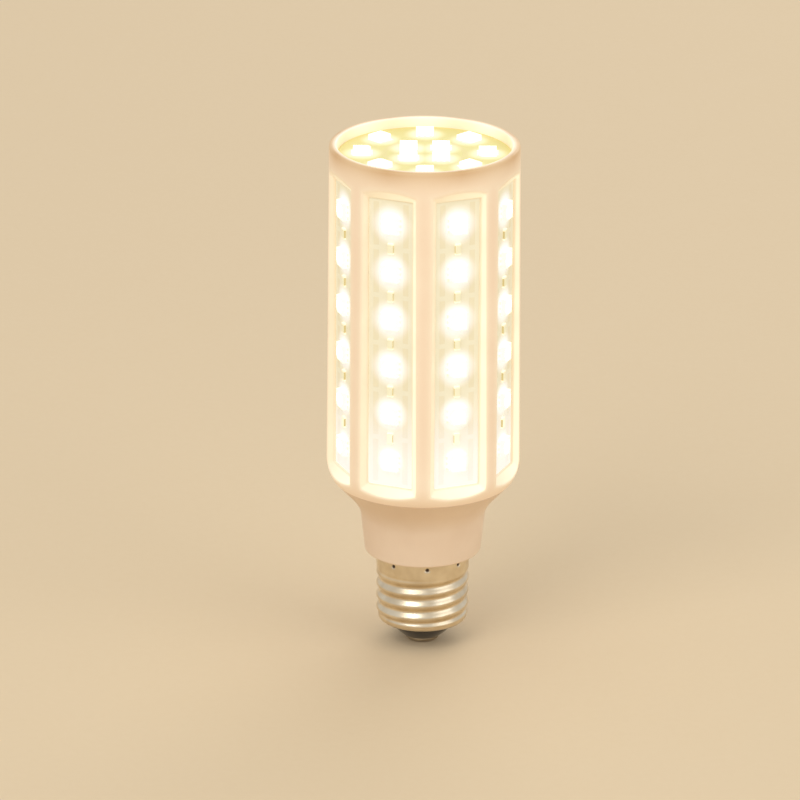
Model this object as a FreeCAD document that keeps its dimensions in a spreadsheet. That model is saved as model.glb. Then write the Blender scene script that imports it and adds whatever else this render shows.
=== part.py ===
"""Corn LED bulb with an E27 screw cap: eight LED strips behind the windows of a moulded cage.

The origin is the centre contact's flat face, +Z runs up the bulb's axis and -Y is the front,
where one of the cage's ribs stands. All sizes are in millimetres and degrees.
"""
import FreeCAD
import Part
import Sketcher
import math
import os
import re

# Driving dimensions: each is one cell of the sheet
SIZES = {
    # E27 cap
    "cap_height": 27.0,
    "cap_radius": 13.1,
    "shell_wall": 0.35,
    "shell_lip_radius": 10.4,
    "shell_lip_chamfer": 0.3,
    "insulator_cone_height": 4.7,
    "insulator_foot_radius": 5.6,
    "insulator_flange_height": 2.4,
    "insulator_clearance": 0.1,
    "button_thickness": 1.5,
    "button_radius": 4.8,
    "button_flat_radius": 3.4,
    "button_edge_height": 0.7,
    "stem_radius": 1.6,
    "stem_length": 3.4,
    # Base: spigot in the cap, collar, bowl, spigot in the cage and posts for the driver board
    "cap_seam": 0.3,
    "cap_spigot_depth": 4.6,
    "cap_spigot_clearance": 0.15,
    "base_wall": 1.9,
    "collar_height": 13.7,
    "collar_overhang": 3.3,
    "collar_flare": 1.4,
    "collar_chamfer": 0.9,
    "bowl_height": 8.1,
    "bowl_rim_inset": 0.3,
    "bowl_bore_inset": 0.7,
    "bowl_bore_depth": 4.6,
    "cage_spigot_clearance": 0.1,
    "post_height": 15.0,
    "post_depth": 3.8,
    "post_width": 5.0,
    "post_groove_depth": 1.2,
    # Cage
    "cage_height": 98.0,
    "cage_top_radius": 26.5,
    "cage_flare": 0.7,
    "cage_low_height": 6.2,
    "cage_bend_inset": 0.7,
    "cage_bend_height": 2.5,
    "cage_foot_inset": 1.8,
    "shelf_thickness": 3.0,
    "rib_depth": 3.7,
    "rim_wall": 2.1,
    "rim_recess": 2.8,
    "rim_chamfer": 0.7,
    "window_depth": 2.7,
    "window_lap": 1.4,
    "window_foot_margin": 2.1,
    "window_head_margin": 4.5,
    "window_land": 0.5,
    "window_slope": 52.0,
    # LED strips
    "strip_count": 8,
    "strip_gap": 3.5,
    "strip_thickness": 1.6,
    "strip_clearance": 0.1,
    "strip_leds": 6,
    "led_end": 7.3,
    "led_size": 5.0,
    "led_notch": 0.9,
    "led_height": 1.6,
    "phosphor_radius": 2.0,
    "phosphor_height": 0.15,
    "chip_length": 3.2,
    "chip_width": 1.6,
    "chip_height": 0.6,
    # Top board
    "top_board_thickness": 1.6,
    "top_board_clearance": 0.2,
    "outer_ring_leds": 8,
    "outer_ring_inset": 7.0,
    "inner_ring_leds": 4,
    "inner_led_offset": 4.5,
    # Driver
    "driver_margin": 2.5,
    "driver_height": 48.0,
    "driver_thickness": 1.6,
    "driver_clearance": 0.1,
    "film_length": 18.0,
    "film_height": 13.0,
    "film_depth": 7.5,
    "smoothing_radius": 5.0,
    "smoothing_length": 16.0,
    "bridge_length": 8.4,
    "bridge_width": 6.4,
    "bridge_height": 3.2,
    "fuse_length": 8.4,
    "fuse_width": 4.2,
    "fuse_height": 7.7,
    "part_spacing": 2.4,
    # Wires
    "lead_radius": 0.7,
    "lead_lap": 7.0,
    "lead_spacing": 12.0,
    "lead_clearance": 0.8,
    "neutral_bend": 4.0,
    "link_radius": 0.5,
    "link_clearance": 0.6,
    "link_level": 12.0,
    "riser_length": 6.0,
}

PHOSPHOR_SIDES = 8
LEAD_SIDES = 8
LINK_SIDES = 6

doc = FreeCAD.newDocument("CornBulb")
sheet = doc.addObject("Spreadsheet::Sheet", "Sizes")
for row, (alias, number) in enumerate(SIZES.items(), start=1):
    sheet.set(f"A{row}", alias)
    sheet.set(f"B{row}", str(number))
    sheet.setAlias(f"B{row}", alias)
doc.recompute()

parts = []


def size(text):
    """Turn the sheet's names in an expression into references to its cells."""
    return re.sub(r"[a-z_]+", lambda word: f"Sizes.{word[0]}" if word[0] in SIZES else word[0], text)


def value(text):
    """The number that an expression over the sheet comes to."""
    return float(sheet.evalExpression(size(text)))


# Levels above the contact face and other sizes that follow from the driving dimensions
STEM_TOP = "(button_thickness + stem_length)"
SHELL_FOOT = "(button_thickness + insulator_cone_height)"
SHELL_FLOOR = f"({SHELL_FOOT} + shell_wall)"
SHELL_BORE = "(cap_radius - shell_wall)"
INSULATOR_TOP = f"({SHELL_FLOOR} + insulator_flange_height)"
COLLAR_RADIUS = "(cap_radius + collar_overhang)"
COLLAR_TOP_RADIUS = f"({COLLAR_RADIUS} + collar_flare)"
COLLAR_FOOT = "(cap_height + cap_seam)"
COLLAR_TOP = f"({COLLAR_FOOT} + collar_height)"
BASE_FLOOR = f"({COLLAR_FOOT} + base_wall)"
CAGE_FOOT = f"({COLLAR_TOP} + bowl_height)"
SHELF = f"({CAGE_FOOT} + shelf_thickness)"
RIM_TOP = f"({CAGE_FOOT} + cage_height)"
LEDGE = f"({RIM_TOP} - rim_recess - top_board_thickness)"
HALF_TURN = "(180 / strip_count)"
CAGE_RADIUS = "(cage_top_radius + cage_flare)"
CAGE_FOOT_RADIUS = f"({CAGE_RADIUS} - cage_foot_inset)"
RIM_BORE = "(cage_top_radius - rim_wall)"
RIB_BORE = "(cage_top_radius - rib_depth)"
STRIP_FACE = "(cage_top_radius - window_depth)"
STRIP_HEIGHT = f"({LEDGE} - {SHELF} - 2 * strip_clearance)"
STRIP_MIDDLE = f"(({LEDGE} + {SHELF}) / 2)"
STRIP_BACK = f"({STRIP_FACE} - strip_thickness)"
STRIP_WIDTH = f"(2 * {STRIP_FACE} * tan({HALF_TURN}) - strip_gap)"
SEAT_WIDTH = f"({STRIP_WIDTH} + 4 * strip_clearance)"
WINDOW_WIDTH = f"({STRIP_WIDTH} - 2 * window_lap)"
WINDOW_FOOT = f"({SHELF} + window_foot_margin)"
WINDOW_HEAD = f"({LEDGE} - window_head_margin)"
WINDOW_HEIGHT = f"({WINDOW_HEAD} - {WINDOW_FOOT})"
WINDOW_MIDDLE = f"(({WINDOW_HEAD} + {WINDOW_FOOT}) / 2)"
LED_RUN = f"({WINDOW_HEIGHT} - 2 * led_end)"
LED_PITCH = f"({LED_RUN} / (strip_leds - 1))"
COLLAR_BORE = f"({COLLAR_RADIUS} - base_wall)"
DRIVER_WIDTH = f"(2 * ({COLLAR_BORE} - driver_margin))"
DRIVER_FOOT = f"({BASE_FLOOR} + driver_clearance)"
DRIVER_TOP = f"({DRIVER_FOOT} + driver_height)"
DRIVER_FRONT = "(0 - lead_radius)"
DRIVER_BACK = f"({DRIVER_FRONT} - driver_thickness)"
BOWL_FLOOR = f"({CAGE_FOOT} - bowl_bore_depth)"
LAP_TOP = f"({DRIVER_FOOT} + lead_lap)"


def bind(thing, **expressions):
    """Bind a document object's properties to expressions over the sheet."""
    for name, text in expressions.items():
        thing.setExpression(name.replace("__", "."), size(text))


def new_body(label):
    """A body of that label, listed as a sub-part."""
    body = doc.addObject("PartDesign::Body", label)
    body.Label = label
    parts.append(body)
    return body


def origin_feature(body, role):
    """One of the planes or axes of a body's own origin."""
    return next(feature for feature in body.Origin.OriginFeatures if feature.Role == role)


def turned(angle):
    """A placement turned about the bulb's axis."""
    return FreeCAD.Placement(FreeCAD.Vector(), FreeCAD.Rotation(FreeCAD.Vector(0, 0, 1), angle))


def turn(body, text):
    """Turn a body about the bulb's axis by an angle bound to the sheet."""
    body.Placement = turned(1)
    bind(body, Placement__Rotation__Angle=text)


def new_sketch(body, plane, lift="0"):
    """A sketch on one of the body's own origin planes, lifted along the plane's normal."""
    sketch = body.newObject("Sketcher::SketchObject", f"{body.Name}_sketch")
    sketch.AttachmentSupport = [(origin_feature(body, plane), "")]
    sketch.MapMode = "FlatFace"
    bind(sketch, AttachmentOffset__Base__z=lift)
    return sketch


def place_point(sketch, line, end, across, up):
    """Fix one end of a sketch's line at two distances from the sketch's origin."""
    for kind, text, axis in (("DistanceX", across, -2), ("DistanceY", up, -1)):
        distance = value(text)
        if abs(distance) < 1e-9:
            sketch.addConstraint(Sketcher.Constraint("PointOnObject", line, end, axis))
            continue
        order = (-1, 1, line, end) if distance > 0 else (line, end, -1, 1)
        index = sketch.addConstraint(Sketcher.Constraint(kind, *order, abs(distance)))
        signed = text if distance > 0 else f"0 - ({text})"
        sketch.setExpression(f"Constraints[{index}]", size(signed))


def draw(sketch, points):
    """Draw a closed outline of straight lines through points given as pairs of expressions."""
    spots = [FreeCAD.Vector(value(across), value(up), 0) for across, up in points]
    lines = [
        sketch.addGeometry(Part.LineSegment(start, stop)) for start, stop in zip(spots, spots[1:] + spots[:1])
    ]
    for line, after, point in zip(lines, lines[1:] + lines[:1], points):
        place_point(sketch, line, 1, *point)
        sketch.addConstraint(Sketcher.Constraint("Coincident", line, 2, after, 1))


def draw_circle(sketch, across, up, radius):
    """Draw a circle about a point of the sketch."""
    centre = FreeCAD.Vector(value(across), value(up), 0)
    line = sketch.addGeometry(Part.Circle(centre, FreeCAD.Vector(0, 0, 1), value(radius)))
    place_point(sketch, line, 3, across, up)
    index = sketch.addConstraint(Sketcher.Constraint("Radius", line, value(radius)))
    sketch.setExpression(f"Constraints[{index}]", size(radius))


def draw_bend(sketch, run, top, level, end, radius):
    """Draw a lead's path: down a straight run, round a quarter turn, and level to its end."""
    corner = FreeCAD.Vector(value(run), value(level), 0)
    bend = value(radius)
    down = FreeCAD.Vector(corner.x, corner.y + bend, 0)
    out = FreeCAD.Vector(corner.x - bend, corner.y, 0)
    middle = corner + FreeCAD.Vector(-1, 1, 0) * bend * (1 - math.sqrt(0.5))
    first = sketch.addGeometry(Part.LineSegment(FreeCAD.Vector(corner.x, value(top), 0), down))
    arc = sketch.addGeometry(Part.Arc(out, middle, down))
    last = sketch.addGeometry(Part.LineSegment(out, FreeCAD.Vector(value(end), corner.y, 0)))
    place_point(sketch, first, 1, run, top)
    place_point(sketch, last, 2, end, level)
    sketch.addConstraint(Sketcher.Constraint("Vertical", first))
    sketch.addConstraint(Sketcher.Constraint("Horizontal", last))
    sketch.addConstraint(Sketcher.Constraint("Tangent", first, 2, arc, 2))
    sketch.addConstraint(Sketcher.Constraint("Tangent", arc, 1, last, 1))
    index = sketch.addConstraint(Sketcher.Constraint("Radius", arc, bend))
    sketch.setExpression(f"Constraints[{index}]", size(radius))


def box_outline(width, height, up="0", across="0"):
    """The four corners of a rectangle about a point, anticlockwise."""
    left, right = f"{across} - {width} / 2", f"{across} + {width} / 2"
    low, high = f"{up} - {height} / 2", f"{up} + {height} / 2"
    return [(left, low), (right, low), (right, high), (left, high)]


def led_outline(up="0", across="0"):
    """An LED package seen from the front: a square with one corner notched off."""
    left, right = f"{across} - led_size / 2", f"{across} + led_size / 2"
    low, high = f"{up} - led_size / 2", f"{up} + led_size / 2"
    return [
        (f"{left} + led_notch", low),
        (right, low),
        (right, high),
        (left, high),
        (left, f"{low} + led_notch"),
    ]


def polygon_outline(sides, apothem, up="0", across="0", first=0.5):
    """A regular polygon about a point; first is the place of its first corner in steps of a side."""
    reach = 1 / math.cos(math.pi / sides)
    turns = [2 * math.pi * (side + first) / sides for side in range(sides)]
    return [
        (
            f"{across} + {reach * math.cos(angle):.6f} * {apothem}",
            f"{up} + {reach * math.sin(angle):.6f} * {apothem}",
        )
        for angle in turns
    ]


def phosphor_outline(up="0", across="0"):
    """The LED's round lit window, as a polygon."""
    return polygon_outline(PHOSPHOR_SIDES, "phosphor_radius", up, across)


def add(body, kind, sketch, **expressions):
    """Add a sketch-based feature to a body, with its sizes bound to the sheet."""
    feature = body.newObject(f"PartDesign::{kind}", f"{body.Name}_{kind}")
    feature.Profile = sketch
    bind(feature, **expressions)
    return feature


def revolve(body, outline):
    """Turn a half section, drawn as radius and level, about the bulb's axis."""
    sketch = new_sketch(body, "XZ_Plane")
    draw(sketch, outline)
    feature = add(body, "Revolution", sketch)
    feature.ReferenceAxis = (sketch, ["V_Axis"])
    feature.Angle = 360
    return feature


def pad(body, plane, lift, outline, length):
    """Pad an outline on one of the body's planes."""
    sketch = new_sketch(body, plane, lift)
    draw(sketch, outline)
    return add(body, "Pad", sketch, Length=length)


def pad_circle(body, plane, lift, across, up, radius, length):
    """Pad a circle on one of the body's planes."""
    sketch = new_sketch(body, plane, lift)
    draw_circle(sketch, across, up, radius)
    return add(body, "Pad", sketch, Length=length)


def cut(body, plane, lift, outline, length):
    """Cut an outline out along its plane's normal and check that the cut took material away."""
    doc.recompute()
    before = body.Shape.Volume
    sketch = new_sketch(body, plane, lift)
    draw(sketch, outline)
    feature = add(body, "Pocket", sketch, Length=length)
    feature.Reversed = True
    doc.recompute()
    if not feature.Shape.Volume < before - 1e-6:
        raise RuntimeError(f"{feature.Label} cuts nothing")
    return feature


def around(body, features, count, angle="360"):
    """Repeat features about the bulb's axis."""
    pattern = body.newObject("PartDesign::PolarPattern", f"{body.Name}_ring")
    pattern.Originals = features
    pattern.Axis = (origin_feature(body, "Z_Axis"), [""])
    bind(pattern, Occurrences=count, Angle=angle)
    body.Tip = pattern


def along(body, feature, count, length):
    """Repeat a feature in a row up its sketch's vertical axis."""
    pattern = body.newObject("PartDesign::LinearPattern", f"{body.Name}_row")
    pattern.Originals = [feature]
    pattern.Direction = (feature.Profile[0], ["V_Axis"])
    bind(pattern, Length=length, Occurrences=count)
    body.Tip = pattern


def strip_angle(number):
    """Angle of a strip about the axis: windows lie halfway between the ribs."""
    return f"(2 * {number} - 1) * {HALF_TURN}"


def make_cage():
    """Moulded cage: tapered wall, seats for the strips inside, sloped windows, proud rim."""
    body = new_body("cage")
    revolve(
        body,
        [
            (RIB_BORE, CAGE_FOOT),
            (CAGE_FOOT_RADIUS, CAGE_FOOT),
            (f"{CAGE_RADIUS} - cage_bend_inset", f"{CAGE_FOOT} + cage_bend_height"),
            (CAGE_RADIUS, f"{CAGE_FOOT} + cage_low_height"),
            ("cage_top_radius", f"{RIM_TOP} - rim_chamfer"),
            ("cage_top_radius - rim_chamfer", RIM_TOP),
            (RIM_BORE, RIM_TOP),
            (RIM_BORE, LEDGE),
            (RIB_BORE, LEDGE),
        ],
    )
    shelf = polygon_outline(SIZES["strip_count"], STRIP_BACK)
    cut(body, "XY_Plane", CAGE_FOOT, shelf, "shelf_thickness")
    seat_depth = f"{RIB_BORE} / 2"
    seat_outline = box_outline(seat_depth, SEAT_WIDTH, across=f"{STRIP_FACE} - {seat_depth} / 2")
    seat = cut(body, "XY_Plane", SHELF, seat_outline, f"{LEDGE} - {SHELF}")
    window = box_outline(WINDOW_WIDTH, WINDOW_HEIGHT, WINDOW_MIDDLE)
    land = cut(body, "YZ_Plane", STRIP_FACE, window, "window_land")
    around(body, [seat, land], "strip_count")
    around(body, [slope_window(body)], "strip_count")
    turn(body, strip_angle(1))


def slope_window(body):
    """Cut a window's sloped walls, which widen from its land to the outside."""
    wedge = body.newObject("PartDesign::SubtractiveWedge", "cage_window")
    wedge.AttachmentSupport = [(origin_feature(body, "XY_Plane"), "")]
    wedge.MapMode = "FlatFace"
    wedge.AttachmentOffset = turned(-90)
    start = f"({STRIP_FACE} + window_land)"
    spread = f"({CAGE_RADIUS} - {start}) * tan(window_slope)"
    side, far_side = f"{WINDOW_WIDTH} / 2", f"({WINDOW_WIDTH} / 2 + {spread})"
    end, far_end = f"{WINDOW_HEIGHT} / 2", f"({WINDOW_HEIGHT} / 2 + {spread})"
    bind(
        wedge,
        Ymin=start,
        Ymax=CAGE_RADIUS,
        Xmin=f"0 - {side}",
        Xmax=side,
        Zmin=f"{WINDOW_MIDDLE} - {end}",
        Zmax=f"{WINDOW_MIDDLE} + {end}",
        X2min=f"0 - {far_side}",
        X2max=far_side,
        Z2min=f"{WINDOW_MIDDLE} - {far_end}",
        Z2max=f"{WINDOW_MIDDLE} + {far_end}",
    )
    return wedge


def make_base():
    """Base: spigot that enters the cap, collar, bowl, and spigot that enters the cage."""
    body = new_body("base")
    sides = SIZES["strip_count"]
    cap_spigot = f"({SHELL_BORE} - cap_spigot_clearance)"
    cap_spigot_foot = f"({COLLAR_FOOT} - cap_spigot_depth)"
    revolve(
        body,
        [
            ("0", cap_spigot_foot),
            (cap_spigot, cap_spigot_foot),
            (cap_spigot, COLLAR_FOOT),
            (f"{COLLAR_RADIUS} - collar_chamfer", COLLAR_FOOT),
            (COLLAR_RADIUS, f"{COLLAR_FOOT} + collar_chamfer"),
            (COLLAR_TOP_RADIUS, COLLAR_TOP),
            (f"{CAGE_FOOT_RADIUS} - bowl_rim_inset", CAGE_FOOT),
            ("0", CAGE_FOOT),
        ],
    )
    cage_spigot = f"({STRIP_BACK} - cage_spigot_clearance)"
    spigot_top = f"({SHELF} - cage_spigot_clearance)"
    spigot_outline = polygon_outline(sides, cage_spigot, first=0)
    pad(body, "XY_Plane", CAGE_FOOT, spigot_outline, f"{spigot_top} - {CAGE_FOOT}")
    cap_bore = f"(({cap_spigot} - base_wall) * cos({HALF_TURN}))"
    for apothem, floor in (
        (f"({cage_spigot} - base_wall)", CAGE_FOOT),
        (f"({COLLAR_TOP_RADIUS} - bowl_bore_inset)", BOWL_FLOOR),
        (f"({COLLAR_BORE} * cos({HALF_TURN}))", BASE_FLOOR),
        (cap_bore, cap_spigot_foot),
    ):
        cut(body, "XY_Plane", floor, polygon_outline(sides, apothem, first=0), f"{spigot_top} - {floor}")
    edge = f"({DRIVER_WIDTH} / 2 + driver_clearance)"
    inner = f"({edge} - post_groove_depth)"
    outer = f"({inner} + post_depth)"
    middle = f"(({DRIVER_FRONT} + {DRIVER_BACK}) / 2)"
    front, back = f"{middle} + post_width / 2", f"{middle} - post_width / 2"
    groove_front, groove_back = f"{DRIVER_FRONT} + driver_clearance", f"{DRIVER_BACK} - driver_clearance"
    for side in ("", "0 - "):
        outline = [
            (f"{side}{inner}", back),
            (f"{side}{outer}", back),
            (f"{side}{outer}", front),
            (f"{side}{inner}", front),
            (f"{side}{inner}", groove_front),
            (f"{side}{edge}", groove_front),
            (f"{side}{edge}", groove_back),
            (f"{side}{inner}", groove_back),
        ]
        pad(body, "XY_Plane", BASE_FLOOR, outline, "post_height")


def make_cap():
    """E27 cap: screw shell, black insulator and contact button."""
    shell = new_body("screw_shell")
    lip_bore = "(shell_lip_radius - shell_wall)"
    revolve(
        shell,
        [
            (lip_bore, SHELL_FOOT),
            ("cap_radius - shell_lip_chamfer", SHELL_FOOT),
            ("cap_radius", f"{SHELL_FOOT} + shell_lip_chamfer"),
            ("cap_radius", "cap_height"),
            (SHELL_BORE, "cap_height"),
            (SHELL_BORE, SHELL_FLOOR),
            (lip_bore, SHELL_FLOOR),
        ],
    )
    insulator = new_body("cap_insulator")
    stem_bore = "(stem_radius + insulator_clearance)"
    neck = f"({lip_bore} - insulator_clearance)"
    revolve(
        insulator,
        [
            (stem_bore, "button_thickness"),
            ("insulator_foot_radius", "button_thickness"),
            (neck, SHELL_FOOT),
            (neck, INSULATOR_TOP),
            (stem_bore, INSULATOR_TOP),
        ],
    )
    flange = f"(({SHELL_BORE} - insulator_clearance) * cos({HALF_TURN}))"
    outline = polygon_outline(SIZES["strip_count"], flange)
    pad(insulator, "XY_Plane", SHELL_FLOOR, outline, "insulator_flange_height")
    stem_room = polygon_outline(LEAD_SIDES, stem_bore)
    cut(insulator, "XY_Plane", SHELL_FLOOR, stem_room, "insulator_flange_height")
    contact = new_body("centre_contact")
    revolve(
        contact,
        [
            ("0", "0"),
            ("button_flat_radius", "0"),
            ("button_radius", "button_edge_height"),
            ("button_radius", "button_thickness"),
            ("stem_radius", "button_thickness"),
            ("stem_radius", STEM_TOP),
            ("0", STEM_TOP),
        ],
    )


def make_strip(number):
    """One LED strip: its board, LED packages, their phosphor windows and the chip resistors."""
    first_led = f"({WINDOW_FOOT} + led_end)"
    first_chip = f"({first_led} + {LED_PITCH} / 2)"
    packages_top = f"{STRIP_FACE} + led_height"
    board = new_body(f"strip_board_{number}")
    board_outline = box_outline(STRIP_WIDTH, STRIP_HEIGHT, STRIP_MIDDLE)
    pad(board, "YZ_Plane", STRIP_BACK, board_outline, "strip_thickness")
    packages = new_body(f"strip_packages_{number}")
    package = pad(packages, "YZ_Plane", STRIP_FACE, led_outline(first_led), "led_height")
    along(packages, package, "strip_leds", LED_RUN)
    phosphors = new_body(f"strip_phosphors_{number}")
    phosphor = pad(phosphors, "YZ_Plane", packages_top, phosphor_outline(first_led), "phosphor_height")
    along(phosphors, phosphor, "strip_leds", LED_RUN)
    resistors = new_body(f"strip_resistors_{number}")
    chip_outline = box_outline("chip_width", "chip_length", first_chip)
    chip = pad(resistors, "YZ_Plane", STRIP_FACE, chip_outline, "chip_height")
    along(resistors, chip, "strip_leds - 1", f"{LED_RUN} - {LED_PITCH}")
    for body in (board, packages, phosphors, resistors):
        turn(body, strip_angle(number))


def make_top():
    """Round board recessed in the rim, with a ring of LEDs and four more within it."""
    board = new_body("top_board")
    edge = f"{RIM_BORE} - top_board_clearance"
    pad_circle(board, "XY_Plane", LEDGE, "0", "0", edge, "top_board_thickness")
    face = f"({LEDGE} + top_board_thickness)"
    for label, outline, lift, height in (
        ("top_packages", led_outline, face, "led_height"),
        ("top_phosphors", phosphor_outline, f"{face} + led_height", "phosphor_height"),
    ):
        body = new_body(label)
        ring = pad(body, "XY_Plane", lift, outline(across=f"({RIM_BORE} - outer_ring_inset)"), height)
        around(body, [ring], "outer_ring_leds")
        inner = pad(body, "XY_Plane", lift, outline("inner_led_offset", "inner_led_offset"), height)
        around(body, [inner], "inner_ring_leds")


def make_driver():
    """Driver board standing in the base, with the parts that feed the LEDs.

    The plane's normal points to the back, so parts on the front face are padded up to it.
    """
    front, back = f"(0 - {DRIVER_FRONT})", f"(0 - {DRIVER_BACK})"
    board = new_body("driver_board")
    board_outline = box_outline(DRIVER_WIDTH, "driver_height", f"({DRIVER_FOOT} + driver_height / 2)")
    pad(board, "XZ_Plane", front, board_outline, "driver_thickness")
    film_middle = f"({BOWL_FLOOR} + driver_clearance + film_depth / 2)"
    film_outline = box_outline("film_length", "film_depth", film_middle)
    pad(new_body("film_capacitor"), "XZ_Plane", f"{front} - film_height", film_outline, "film_height")
    can_middle = f"({film_middle} + film_depth / 2 + part_spacing + smoothing_radius)"
    can_foot = f"{front} - smoothing_length"
    can = new_body("smoothing_capacitor")
    pad_circle(can, "XZ_Plane", can_foot, "0", can_middle, "smoothing_radius", "smoothing_length")
    foot = f"({LAP_TOP} + part_spacing)"
    for label, length, width, height in (
        ("bridge_rectifier", "bridge_length", "bridge_width", "bridge_height"),
        ("micro_fuse", "fuse_length", "fuse_width", "fuse_height"),
        ("bleed_resistor", "chip_length", "chip_width", "chip_height"),
    ):
        outline = box_outline(length, width, f"({foot} + {width} / 2)")
        pad(new_body(label), "XZ_Plane", back, outline, height)
        foot = f"({foot} + {width} + part_spacing)"


def make_leads():
    """Insulated leads: contact to driver, shell to driver, and driver to the top board."""
    lap_foot = f"({DRIVER_TOP} - lead_lap)"
    for label, across, foot, top in (
        ("live_lead", "0", STEM_TOP, LAP_TOP),
        ("feed_lead", "lead_spacing / 2", lap_foot, LEDGE),
        ("return_lead", "0 - lead_spacing / 2", lap_foot, LEDGE),
    ):
        outline = polygon_outline(LEAD_SIDES, "lead_radius", across=across)
        pad(new_body(label), "XY_Plane", foot, outline, f"{top} - {foot}")
    neutral = new_body("neutral_lead")
    run = f"({DRIVER_BACK} - lead_radius)"
    level = f"({INSULATOR_TOP} + lead_clearance + lead_radius)"
    end = f"(0 - sqrt({SHELL_BORE} ^ 2 - 2 * lead_radius ^ 2))"
    path = new_sketch(neutral, "YZ_Plane")
    draw_bend(path, run, LAP_TOP, level, end, "neutral_bend")
    section = new_sketch(neutral, "XY_Plane", LAP_TOP)
    draw(section, polygon_outline(LEAD_SIDES, "lead_radius", up=run))
    add(neutral, "AdditivePipe", section).Spine = path


def make_links():
    """Jumpers behind the strips: strip to strip, and the first and last strip to the top board."""
    bars = doc.addObject("PartDesign::Body", "link_bars")
    reach = f"({RIB_BORE} - link_clearance - link_radius)"
    level = f"({SHELF} + link_level)"
    outline = polygon_outline(LINK_SIDES, "link_radius", level, reach)
    bar = pad(bars, "XZ_Plane", f"0 - {STRIP_FACE} / 2", outline, STRIP_FACE)
    around(bars, [bar], "strip_count - 1", f"360 - 4 * {HALF_TURN}")
    room = doc.addObject("Part::Prism", "room_within_strips")
    bind(room, Polygon="strip_count", Circumradius=f"{STRIP_BACK} / cos({HALF_TURN})", Height=LEDGE)
    jumpers = doc.addObject("Part::Common", "jumpers")
    jumpers.Base = bars
    jumpers.Tool = room
    risers = []
    radius = f"({STRIP_BACK} - link_radius)"
    for number in ("1", "strip_count"):
        riser = doc.addObject("Part::Prism", "riser")
        riser.Polygon = LINK_SIDES
        angle = strip_angle(number)
        bind(
            riser,
            Circumradius="link_radius",
            Height="riser_length",
            Placement__Base__x=f"{radius} * cos({angle})",
            Placement__Base__y=f"{radius} * sin({angle})",
            Placement__Base__z=f"{LEDGE} - riser_length",
        )
        risers.append(riser)
    wires = doc.addObject("Part::Compound", "link_wires")
    wires.Links = [jumpers, *risers]
    parts.append(wires)


def write_parts():
    """Check every object and write each sub-part to its own file."""
    doc.recompute()
    for thing in doc.Objects:
        if "Invalid" in thing.State or "Error" in thing.State:
            raise RuntimeError(f"{thing.Label}: {thing.State}")
    for part in parts:
        if part.Shape.isNull() or not part.Shape.isValid() or not part.Shape.Solids:
            raise RuntimeError(f"{part.Label} has no valid solid")
    os.makedirs("parts", exist_ok=True)
    for part in parts:
        part.Shape.exportStep(f"parts/{part.Label}.step")


make_cage()
make_base()
make_cap()
for strip in range(1, SIZES["strip_count"] + 1):
    make_strip(strip)
make_top()
make_driver()
make_leads()
make_links()
write_parts()
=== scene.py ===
"""Looks of a lit corn LED bulb with an E27 screw cap.

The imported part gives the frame: the origin is the centre contact's flat face, +Z runs up the bulb's
axis and -Y is the front. The sizes below are in millimetres and become metres when a mesh is made.
"""
import logging
import math
from dataclasses import dataclass
from enum import Enum
from typing import Any, Union

import bmesh
import bpy
import numpy as np
from bpy.types import Material, Node, NodeSocket, Object
from mathutils import Matrix, Vector


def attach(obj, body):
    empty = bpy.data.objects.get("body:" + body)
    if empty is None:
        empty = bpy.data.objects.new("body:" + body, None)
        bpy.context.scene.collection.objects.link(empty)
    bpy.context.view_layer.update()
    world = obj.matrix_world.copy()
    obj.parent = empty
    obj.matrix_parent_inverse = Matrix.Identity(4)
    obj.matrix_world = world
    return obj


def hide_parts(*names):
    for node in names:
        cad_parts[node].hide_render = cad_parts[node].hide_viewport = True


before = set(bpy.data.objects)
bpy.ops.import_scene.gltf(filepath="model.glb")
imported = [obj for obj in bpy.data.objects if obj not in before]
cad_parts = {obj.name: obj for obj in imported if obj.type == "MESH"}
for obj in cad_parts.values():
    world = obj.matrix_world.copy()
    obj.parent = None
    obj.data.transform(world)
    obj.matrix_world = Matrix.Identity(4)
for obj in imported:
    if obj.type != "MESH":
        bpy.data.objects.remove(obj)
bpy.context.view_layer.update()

MM = 0.001
IMAGE_SIZE = 800
LOG = logging.getLogger("corn_bulb")

# A Mix node's sockets for colours: factor and both colours go in, one colour comes out.
MIX_IN = (0, 6, 7)
MIX_OUT = 2
MIX_COLOURS = {"data_type": "RGBA"}

Array = np.ndarray
Spot = tuple[float, float, float]
Outline = tuple[tuple[float, float], ...]
RGB = tuple[int, int, int]
Tint = Union[RGB, NodeSocket]
Term = Union["Number", float]


def paint_colour(colour: RGB) -> tuple[float, ...]:
    """Linear colour of a display colour.

    Args:
        colour: display red, green and blue, 0 to 255.

    Returns:
        Linear red, green and blue by the sRGB curve, and an alpha of 1.
    """
    knee, slope, offset, power = 0.04045, 12.92, 0.055, 2.4
    parts = np.array(colour) / 255
    linear = np.where(parts <= knee, parts / slope, ((parts + offset) / (1 + offset)) ** power)
    return (*linear.tolist(), 1.0)


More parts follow.
